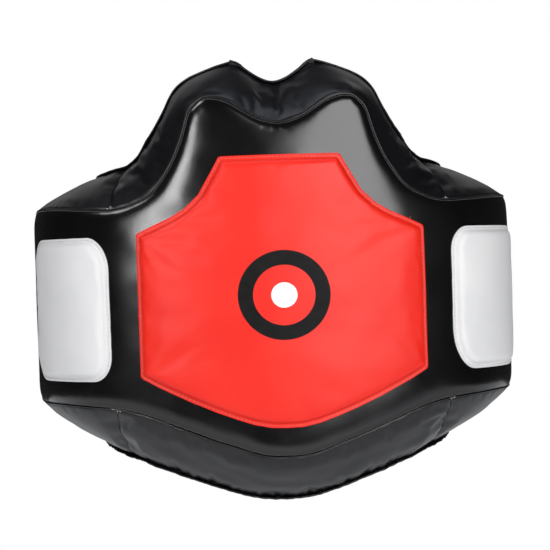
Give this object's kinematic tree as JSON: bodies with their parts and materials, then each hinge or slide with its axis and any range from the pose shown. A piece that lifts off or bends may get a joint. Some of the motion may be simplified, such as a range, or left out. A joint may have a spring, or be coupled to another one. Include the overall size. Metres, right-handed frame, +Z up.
{
  "type": "trainer belly pad",
  "caption": "Thick wrap-round coach's body protector with a raised front target, two side panels and a webbing back harness with squeeze buckles.",
  "frame": {"origin": "middle of the lining's torso-side face, where the pad rests on the wearer's belly", "axes": "+Z up as worn, -Y out through the strike face, +Y towards the wearer, +X along the pad's width"},
  "size_m": [0.5282, 0.3415, 0.4681],
  "materials": {
    "black_leather": "glossy smooth",
    "lining_cloth": "matt woven",
    "red_leather": "satin smooth",
    "white_leather": "satin smooth",
    "dense_foam": "closed-cell foam",
    "core_foam": "closed-cell foam",
    "soft_foam": "open-cell foam",
    "webbing": "ribbed webbing",
    "elastic": "woven elastic",
    "buckle_plastic": "moulded satin"
  },
  "bodies": {
    "pad": {"front_cover": "black_leather", "gusset_top": "black_leather", "gusset_left": "black_leather", "gusset_right": "black_leather", "gusset_bottom": "black_leather", "lining": "lining_cloth", "face_piping": "black_leather", "edge_binding": "black_leather", "strike_foam": "dense_foam", "core_foam": "core_foam", "body_foam": "soft_foam", "target_cover": "red_leather", "target_foam": "soft_foam", "left_side_panel_cover": "white_leather", "left_side_panel_foam": "soft_foam", "right_side_panel_cover": "white_leather", "right_side_panel_foam": "soft_foam", "left_bib_patch": "black_leather", "right_bib_patch": "black_leather", "left_wing_patch": "black_leather", "right_wing_patch": "black_leather", "cross_patch": "black_leather", "left_shoulder_strap": "webbing", "right_shoulder_strap": "webbing", "left_wing_strap": "webbing", "right_wing_strap": "webbing", "waist_strap_left": "webbing", "waist_strap_right": "webbing", "waist_buckle_female": "buckle_plastic", "left_buckle_female": "buckle_plastic", "right_buckle_female": "buckle_plastic"},
    "waist_male_half": {"waist_buckle_male": "buckle_plastic", "waist_strap_tail": "webbing"},
    "waist_upper_latch_arm": {"waist_latch_upper": "buckle_plastic"},
    "waist_lower_latch_arm": {"waist_latch_lower": "buckle_plastic"},
    "waist_strap_keeper": {"waist_keeper": "elastic"},
    "right_male_half": {"right_buckle_male": "buckle_plastic", "right_strap_tail": "webbing"},
    "right_upper_latch_arm": {"right_latch_upper": "buckle_plastic"},
    "right_lower_latch_arm": {"right_latch_lower": "buckle_plastic"},
    "right_strap_keeper": {"right_keeper": "elastic"},
    "left_male_half": {"left_buckle_male": "buckle_plastic", "left_strap_tail": "webbing"},
    "left_upper_latch_arm": {"left_latch_upper": "buckle_plastic"},
    "left_lower_latch_arm": {"left_latch_lower": "buckle_plastic"},
    "left_strap_keeper": {"left_keeper": "elastic"}
  },
  "joints": [
    {"name": "waist_buckle_release", "type": "slide", "parent": "pad", "child": "waist_male_half", "axis": [1, 0, 0], "range_m": [0, 0.03], "deforming": ["waist_strap_right", "waist_latch_upper", "waist_latch_lower"]},
    {"name": "waist_latch_upper_squeeze", "type": "hinge", "parent": "waist_male_half", "child": "waist_upper_latch_arm", "pos_m": [-0.023, 0.25, -0.067], "axis": [0, -1, 0], "range_deg": [0, 13], "stiffness_Nm_per_rad": 0.05},
    {"name": "waist_latch_lower_squeeze", "type": "hinge", "parent": "waist_male_half", "child": "waist_lower_latch_arm", "pos_m": [-0.023, 0.25, -0.093], "axis": [0, 1, 0], "range_deg": [0, 13], "stiffness_Nm_per_rad": 0.05},
    {"name": "waist_keeper_slide", "type": "slide", "parent": "pad", "child": "waist_strap_keeper", "axis": [1, 0, 0], "range_m": [-0.01, 0.014]},
    {"name": "right_buckle_release", "type": "slide", "parent": "pad", "child": "right_male_half", "axis": [-0.8572, 0, 0.515], "range_m": [0, 0.03], "deforming": ["left_shoulder_strap", "right_latch_upper", "right_latch_lower"]},
    {"name": "right_latch_upper_squeeze", "type": "hinge", "parent": "right_male_half", "child": "right_upper_latch_arm", "pos_m": [0.13784, 0.24, 0.04434], "axis": [0, 1, 0], "range_deg": [0, 13], "stiffness_Nm_per_rad": 0.05},
    {"name": "right_latch_lower_squeeze", "type": "hinge", "parent": "right_male_half", "child": "right_lower_latch_arm", "pos_m": [0.12445, 0.24, 0.02206], "axis": [0, -1, 0], "range_deg": [0, 13], "stiffness_Nm_per_rad": 0.05},
    {"name": "right_keeper_slide", "type": "slide", "parent": "pad", "child": "right_strap_keeper", "axis": [-0.8572, 0, 0.515], "range_m": [-0.01, 0.014]},
    {"name": "left_buckle_release", "type": "slide", "parent": "pad", "child": "left_male_half", "axis": [0.8572, 0, 0.515], "range_m": [0, 0.03], "deforming": ["right_shoulder_strap", "left_latch_upper", "left_latch_lower"]},
    {"name": "left_latch_upper_squeeze", "type": "hinge", "parent": "left_male_half", "child": "left_upper_latch_arm", "pos_m": [-0.13784, 0.2426, 0.04434], "axis": [0, -1, 0], "range_deg": [0, 13], "stiffness_Nm_per_rad": 0.05},
    {"name": "left_latch_lower_squeeze", "type": "hinge", "parent": "left_male_half", "child": "left_lower_latch_arm", "pos_m": [-0.12445, 0.2426, 0.02206], "axis": [0, 1, 0], "range_deg": [0, 13], "stiffness_Nm_per_rad": 0.05},
    {"name": "left_keeper_slide", "type": "slide", "parent": "pad", "child": "left_strap_keeper", "axis": [0.8572, 0, 0.515], "range_m": [-0.01, 0.014]}
  ],
  "couplings": [
    {"joint": "waist_latch_lower_squeeze", "follows": "waist_latch_upper_squeeze", "ratio": 1},
    {"joint": "right_latch_lower_squeeze", "follows": "right_latch_upper_squeeze", "ratio": 1},
    {"joint": "left_latch_lower_squeeze", "follows": "left_latch_upper_squeeze", "ratio": 1}
  ]
}
